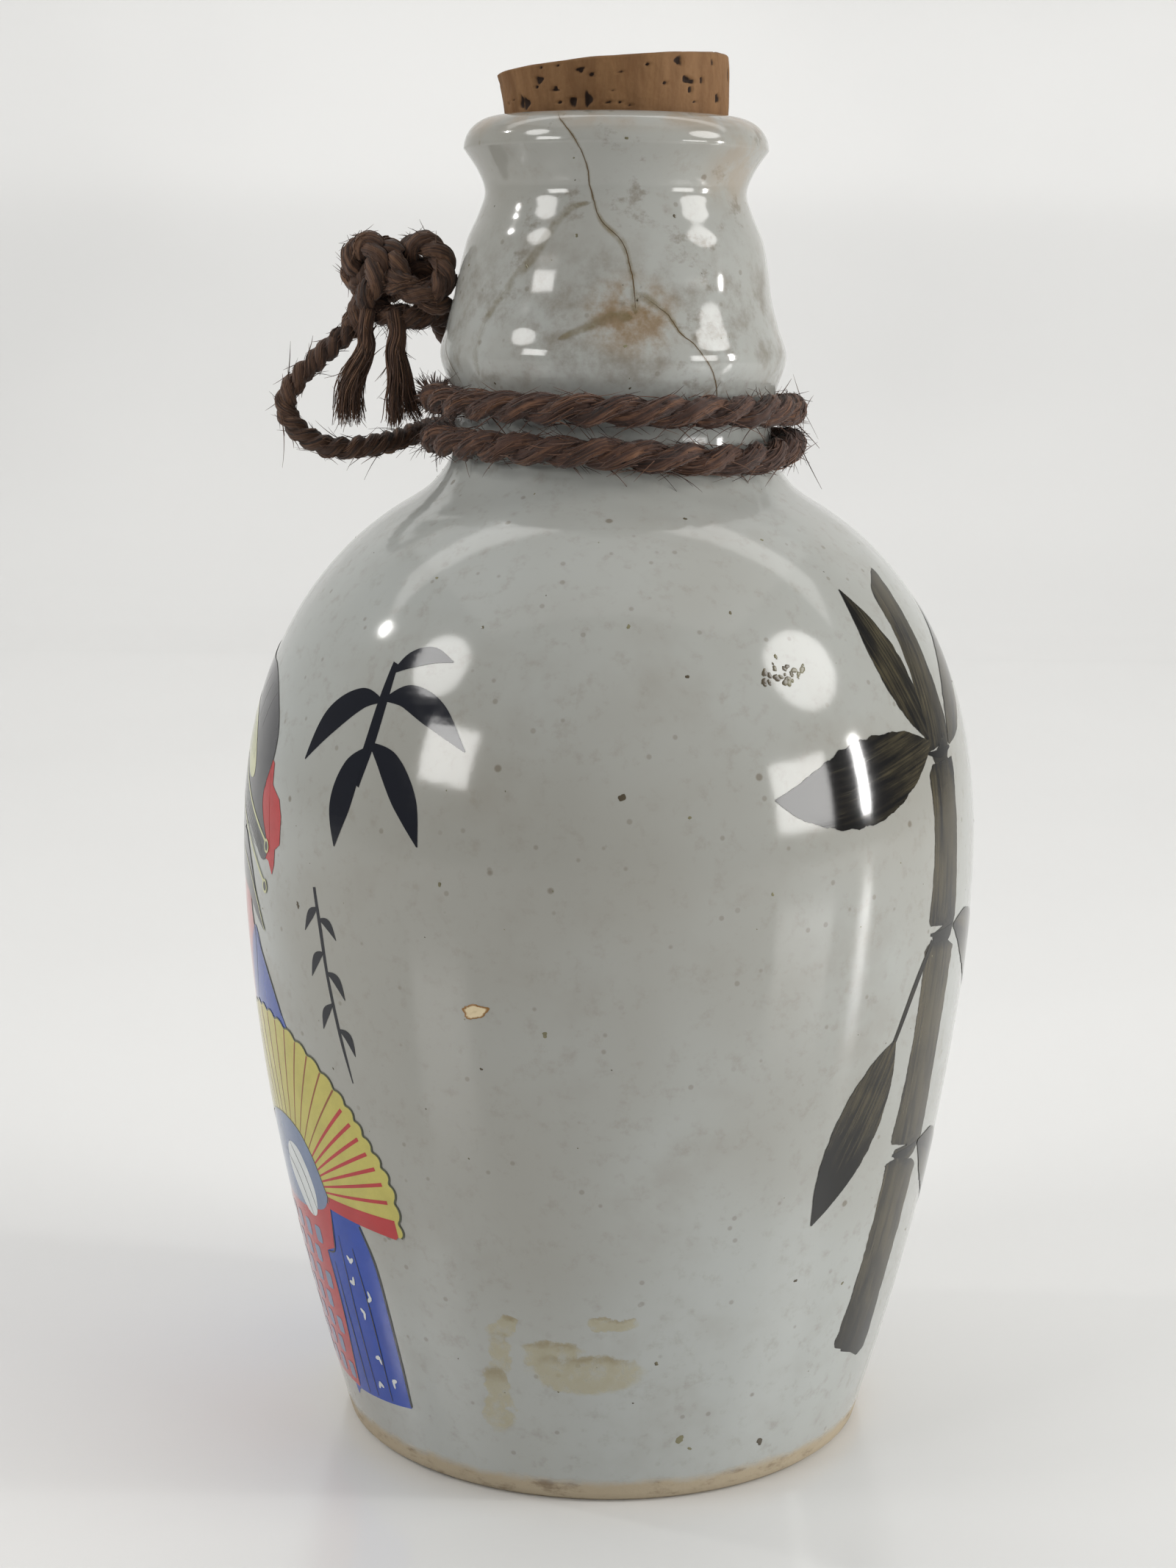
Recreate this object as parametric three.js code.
// A glazed stoneware sake bottle with a cork and a palm-fibre rope.
//
// Millimetres, +Z up. The origin is the middle of the foot, on the surface that
// the bottle stands on. The hanging loop of the cord lies towards -X.

import * as THREE from "three";

// ---- Rope and cord ----------------------------------------------------------
const ROPE_DIAMETER = 4.3;
const ROPE_GAP = 0.55; // to the bottom of the groove
const CORD_DIAMETER = 3.2;
const TAIL_DIAMETER = 2.8;
const KNOT_SIZE = [16.8, 9.2, 13.8];
const KNOT_MIDDLE = [-31.5, -0.5, 20.5]; // from the middle of the groove

// ---- Body ---------------------------------------------------------------------
const BELLY_RADIUS = 55;
const BELLY_HEIGHT = 88; // the widest level, above the foot
const FOOT_RADIUS = 39.7;
const FOOT_EDGE = 0.7; // the small bevel where the wall meets the ground
const FOOT_RING_WIDTH = 6;
const FOOT_RECESS = 2.5; // the underside is hollowed, so it stands on a ring
const FLANK_POWER = 1.68; // how late the lower wall straightens towards the belly
const SHOULDER_POWER = 2.3; // 2 is an ellipse, more is squarer
const SHOULDER_TOP_DROP = 4.1; // where the shoulder's curve would close, under the groove's middle
const WALL = 5;
const FLOOR_THICKNESS = 5;
const CORNER_RADIUS = 6; // between the inner floor and the inner wall

// ---- Mouth ----------------------------------------------------------------------
const MOUTH_RADIUS = 16.4; // the cork's seat, at the lip
const MOUTH_EDGE = 0.5;
const SEAT_DEPTH = 20;
const SEAT_TAPER = 1.5; // how much the radius shrinks over the seat's depth
const BORE_WIDENING = 1.6; // of the neck's bore below the seat, over the mouth's radius

// ---- Neck: thicknesses over the mouth's radius, and heights from the groove -----
const GROOVE_HEIGHT = 151.5; // the middle of the rope's groove, above the foot
const GROOVE_WALL = 7.2;
const GROOVE_LENGTH = 1.68 * ROPE_DIAMETER; // the straight part at its bottom
const ROOT_WALL = 10.2; // on the fillet between shoulder and groove
const ROOT_DROP = 2 * ROPE_DIAMETER;
const SHOULDER_END_WALL = 15.2; // where the shoulder turns into that fillet
const FLARE_WALL = 8.9;
const FLARE_RISE = 9.7;
const COLLAR_WALL = 5.7;
const COLLAR_RISE = 21.3;
const COLLAR_LENGTH = 6.5;
const WAIST_WALL = 2.6;
const WAIST_RISE = 33.2;
const LIP_WALL = 5.7;
const LIP_RISE = 39.3; // the widest level of the lip
const LIP_ROUND = 4.9; // how far the rounding reaches in from the widest level
const LIP_TOP_RISE = 43.8;

// ---- Cork -----------------------------------------------------------------------
const CORK_GAP = 0.3; // all round, to the seat
const CORK_SHANK = 18; // how deep it sits in the mouth
const CORK_PROUD = 7.4; // how far it stands out of the mouth, at its middle
const CORK_SWELL = 0.3; // of its head, over the mouth's radius
const CORK_CHAMFER = 0.8;
const CORK_LEAN = THREE.MathUtils.degToRad(5.1); // its head leans towards the loop

// ---- Routes -----------------------------------------------------------------------
// Stations along the turns of the neck rope: the angle in degrees, from -X through
// the front, and the height from the groove's middle in rope diameters.
const ROPE_STATIONS = [
  [6, 0.91], [30, 0.81], [60, 0.74], [90, 0.7], [120, 0.67], [150, 0.65],
  [180, 0.56], [210, 0.44], [240, 0.28], [270, 0.05], [300, -0.19], [330, -0.37],
  [360, -0.49], [390, -0.53], [420, -0.58], [450, -0.67], [480, -0.88], [500, -0.91],
  [520, -0.74], [540, -0.6], [570, -0.72], [590, -0.79],
];

// The hanging cord's stretches, from the middle of the groove.
const LOOP_POINTS = [
  [-20.5, 22.5, -1.2], [-23.6, 18.9, -1.2], [-26.2, 14.8, -1.3], [-28.4, 10.4, -1.6],
  [-30.6, 6.6, -2.2], [-33.0, 3.6, -3.0], [-35.9, 1.4, -3.6], [-39.2, 0.2, -4.0],
  [-42.4, -0.4, -3.7], [-45.4, -0.6, -2.2], [-47.6, -0.6, -0.1], [-48.4, -0.5, 2.5],
  [-47.4, -0.5, 4.9], [-45.8, -0.3, 7.1], [-43.6, -0.2, 9.1], [-41.4, -0.1, 11.0],
  [-38.4, -0.1, 13.7],
];
const BACK_LEG_POINTS = [
  [-25.8, 4.9, 15.6], [-25.8, 8.0, 14.3], [-25.3, 11.4, 12.5], [-23.9, 15.1, 10.4],
  [-21.5, 18.9, 8.0], [-18.4, 22.1, 5.5], [-14.8, 24.8, 3.6],
];
const LEFT_TAIL_POINTS = [
  [-36.3, -2.2, 14.0], [-36.8, -2.4, 11.2], [-37.6, -2.6, 7.7], [-38.6, -2.6, 3.8],
  [-39.1, -2.6, 0.3],
];
const RIGHT_TAIL_POINTS = [
  [-31.8, -2.0, 13.3], [-31.5, -2.2, 10.2], [-31.2, -2.3, 6.5], [-30.9, -2.3, 2.5],
  [-30.8, -2.3, 0.3],
];

// ---- Fineness ---------------------------------------------------------------
const ROUND_STEPS = 40;
const TUBE_SIDES = 8;
const OUTER_STEPS = { flank: 7, shoulder: 8, neck: 22, lip: 5, mouthEdge: 2 };
const INNER_STEPS = { bore: 7, shoulder: 6, flank: 5, corner: 3 };
const KNOT_STEPS = [18, 12];
const ROPE_STEP = 7;
const CORD_STEP = 3.2;

const finish = (color, roughness) =>
  new THREE.MeshStandardMaterial({ color, roughness, metalness: 0 });
const GLAZE = finish(0xa8a8a0, 0.15);
const CORK = finish(0x96724f, 0.85);
const ROPE_FIBRE = finish(0x4a3028, 0.95);
const CORD_FIBRE = finish(0x3a2820, 0.95);

/** A named mesh. */
function piece(name, geometry, material) {
  const mesh = new THREE.Mesh(geometry, material);
  mesh.name = name;
  return mesh;
}

/** A turned solid about +Z from [radius, height] points. */
function turned(points) {
  const outline = points.map(([radius, height]) => new THREE.Vector2(radius, height));
  return new THREE.LatheGeometry(outline, ROUND_STEPS).rotateX(Math.PI / 2);
}

/** [radius, height] points of a smooth line through the given ones, both ends included. */
function smooth(points, steps) {
  const line = new THREE.SplineCurve(points.map((p) => new THREE.Vector2(...p)));
  return line.getPoints(steps).map((p) => p.toArray());
}

/** Points on part of an ellipse about a middle, from one angle to another, in degrees. */
function arc([radius, height], [across, up], [from, to], steps) {
  const points = [];
  for (let i = 0; i <= steps; i += 1) {
    const angle = THREE.MathUtils.degToRad(from + ((to - from) * i) / steps);
    points.push([radius + across * Math.cos(angle), height + up * Math.sin(angle)]);
  }
  return points;
}

/** The wall's outer radius at a height between the foot and the belly. */
function flankRadius(height) {
  const below = (BELLY_HEIGHT - height) / BELLY_HEIGHT;
  return BELLY_RADIUS - (BELLY_RADIUS - FOOT_RADIUS) * below ** FLANK_POWER;
}

/** The other side of the shoulder's curve, both as shares of their full size. */
function shoulderShare(share) {
  return (1 - share ** SHOULDER_POWER) ** (1 / SHOULDER_POWER);
}

/** Points up the flank, on its outer face or inside it by an offset. */
function flank(fromHeight, offset, steps) {
  const points = [];
  for (let i = 0; i <= steps; i += 1) {
    const height = fromHeight + ((BELLY_HEIGHT - fromHeight) * i) / steps;
    points.push([flankRadius(height) - offset, height]);
  }
  return points;
}

/** Points over the shoulder, from just above the belly to where its radius has shrunk. */
function shoulder(offset, endRadius, steps) {
  const radius = BELLY_RADIUS - offset;
  const fullRise = GROOVE_HEIGHT - SHOULDER_TOP_DROP - BELLY_HEIGHT - offset;
  const endRise = shoulderShare(endRadius / radius);
  const points = [];
  for (let i = 1; i <= steps; i += 1) {
    const rise = endRise * Math.sin((Math.PI * i) / (2 * steps));
    points.push([radius * shoulderShare(rise), BELLY_HEIGHT + fullRise * rise]);
  }
  return points;
}

/** The bottle: one turned shell, open at the mouth. */
function bottle() {
  const onNeck = (wall, rise) => [MOUTH_RADIUS + wall, GROOVE_HEIGHT + rise];
  const lipTop = GROOVE_HEIGHT + LIP_TOP_RISE;
  const shoulderEnd = MOUTH_RADIUS + SHOULDER_END_WALL;
  const floor = FOOT_RECESS + FLOOR_THICKNESS;

  const under = [
    [0, FOOT_RECESS],
    [FOOT_RADIUS - FOOT_RING_WIDTH - FOOT_RECESS / 2, FOOT_RECESS],
    [FOOT_RADIUS - FOOT_RING_WIDTH, 0],
    [FOOT_RADIUS - FOOT_EDGE, 0],
  ];
  const outerFlank = flank(FOOT_EDGE, 0, OUTER_STEPS.flank);
  const outerShoulder = shoulder(0, shoulderEnd, OUTER_STEPS.shoulder);
  const neck = smooth(
    [
      outerShoulder[outerShoulder.length - 1],
      onNeck(ROOT_WALL, -ROOT_DROP),
      onNeck(GROOVE_WALL, -GROOVE_LENGTH / 2),
      onNeck(GROOVE_WALL, GROOVE_LENGTH / 2),
      onNeck(FLARE_WALL, FLARE_RISE),
      onNeck(COLLAR_WALL, COLLAR_RISE - COLLAR_LENGTH / 2),
      onNeck(COLLAR_WALL, COLLAR_RISE + COLLAR_LENGTH / 2),
      onNeck(WAIST_WALL, WAIST_RISE),
      onNeck(LIP_WALL, LIP_RISE),
    ],
    OUTER_STEPS.neck,
  ).slice(1, -1);
  const lipMiddle = onNeck(LIP_WALL - LIP_ROUND, LIP_RISE);
  const lip = arc(lipMiddle, [LIP_ROUND, LIP_TOP_RISE - LIP_RISE], [0, 90], OUTER_STEPS.lip);
  const edgeMiddle = [MOUTH_RADIUS + MOUTH_EDGE, lipTop - MOUTH_EDGE];
  const mouthEdge = arc(edgeMiddle, [MOUTH_EDGE, MOUTH_EDGE], [90, 180], OUTER_STEPS.mouthEdge);
  const innerShoulder = shoulder(WALL, shoulderEnd - WALL / 2, INNER_STEPS.shoulder).reverse();
  const bore = smooth(
    [
      [MOUTH_RADIUS - SEAT_TAPER, lipTop - SEAT_DEPTH],
      onNeck(BORE_WIDENING, FLARE_RISE),
      onNeck(BORE_WIDENING, 0),
      innerShoulder[0],
    ],
    INNER_STEPS.bore,
  ).slice(0, -1);
  const cornerTop = floor + CORNER_RADIUS;
  const innerFlank = flank(cornerTop, WALL, INNER_STEPS.flank).reverse();
  const cornerMiddle = [flankRadius(cornerTop) - WALL - CORNER_RADIUS, cornerTop];
  const corner = arc(cornerMiddle, [CORNER_RADIUS, CORNER_RADIUS], [0, -90], INNER_STEPS.corner).slice(1);

  return turned([
    ...under,
    ...outerFlank,
    ...outerShoulder,
    ...neck,
    ...lip,
    ...mouthEdge,
    ...bore,
    ...innerShoulder,
    ...innerFlank,
    ...corner,
    [0, floor],
  ]);
}

/** The cork: its shank follows the seat, and its head leans over. */
function cork() {
  const lipTop = GROOVE_HEIGHT + LIP_TOP_RISE;
  const headRadius = MOUTH_RADIUS + CORK_SWELL;
  const shankRadius = (depth) => MOUTH_RADIUS - CORK_GAP - (SEAT_TAPER * depth) / SEAT_DEPTH;
  const geometry = turned([
    [0, -CORK_SHANK],
    [shankRadius(CORK_SHANK) - CORK_CHAMFER, -CORK_SHANK],
    [shankRadius(CORK_SHANK), CORK_CHAMFER - CORK_SHANK],
    [shankRadius(0), 0],
    [headRadius, CORK_PROUD - CORK_CHAMFER],
    [headRadius - CORK_CHAMFER, CORK_PROUD],
    [0, CORK_PROUD],
  ]);
  const place = geometry.attributes.position;
  for (let i = 0; i < place.count; i += 1) {
    const [x, height] = [place.getX(i), place.getZ(i)];
    const lean = CORK_LEAN * THREE.MathUtils.clamp(height / CORK_PROUD, 0, 1);
    place.setX(i, x * Math.cos(lean) - height * Math.sin(lean));
    place.setZ(i, x * Math.sin(lean) + height * Math.cos(lean));
  }
  return geometry.translate(0, 0, lipTop);
}

/** A closed tube through the given points. */
function tube(points, diameter, step) {
  const path = new THREE.CatmullRomCurve3(points.map((p) => new THREE.Vector3(...p)));
  const section = new THREE.Shape();
  for (let i = 0; i < TUBE_SIDES; i += 1) {
    const angle = (2 * Math.PI * i) / TUBE_SIDES;
    const [x, y] = [(diameter / 2) * Math.cos(angle), (diameter / 2) * Math.sin(angle)];
    if (i === 0) {
      section.moveTo(x, y);
    } else {
      section.lineTo(x, y);
    }
  }
  const steps = Math.ceil(path.getLength() / step);
  return new THREE.ExtrudeGeometry(section, { steps, extrudePath: path, curveSegments: 1 });
}

/** The thick rope: two turns in the neck's groove, with cut ends. */
function neckRope() {
  const radius = MOUTH_RADIUS + GROOVE_WALL + ROPE_GAP + ROPE_DIAMETER / 2;
  const points = ROPE_STATIONS.map(([degrees, height]) => {
    const angle = THREE.MathUtils.degToRad(degrees);
    return [-radius * Math.cos(angle), -radius * Math.sin(angle), height * ROPE_DIAMETER];
  });
  return tube(points, ROPE_DIAMETER, ROPE_STEP);
}

/** The outer shape of the knot that ties the hanging loop. */
function knot() {
  return new THREE.SphereGeometry(0.5, ...KNOT_STEPS).scale(...KNOT_SIZE).translate(...KNOT_MIDDLE);
}

const ropework = new THREE.Group();
ropework.position.z = GROOVE_HEIGHT;
ropework.add(
  piece("neck_rope", neckRope(), ROPE_FIBRE),
  piece("hanging_cord_loop", tube(LOOP_POINTS, CORD_DIAMETER, CORD_STEP), CORD_FIBRE),
  piece("hanging_cord_back_leg", tube(BACK_LEG_POINTS, CORD_DIAMETER, CORD_STEP), CORD_FIBRE),
  piece("hanging_cord_knot", knot(), CORD_FIBRE),
  piece("hanging_cord_tail_left", tube(LEFT_TAIL_POINTS, TAIL_DIAMETER, CORD_STEP), CORD_FIBRE),
  piece("hanging_cord_tail_right", tube(RIGHT_TAIL_POINTS, TAIL_DIAMETER, CORD_STEP), CORD_FIBRE),
);

const group = new THREE.Group();
group.add(
  piece("stoneware_bottle", bottle(), GLAZE),
  piece("cork_stopper", cork(), CORK),
  ropework,
);

export default group;
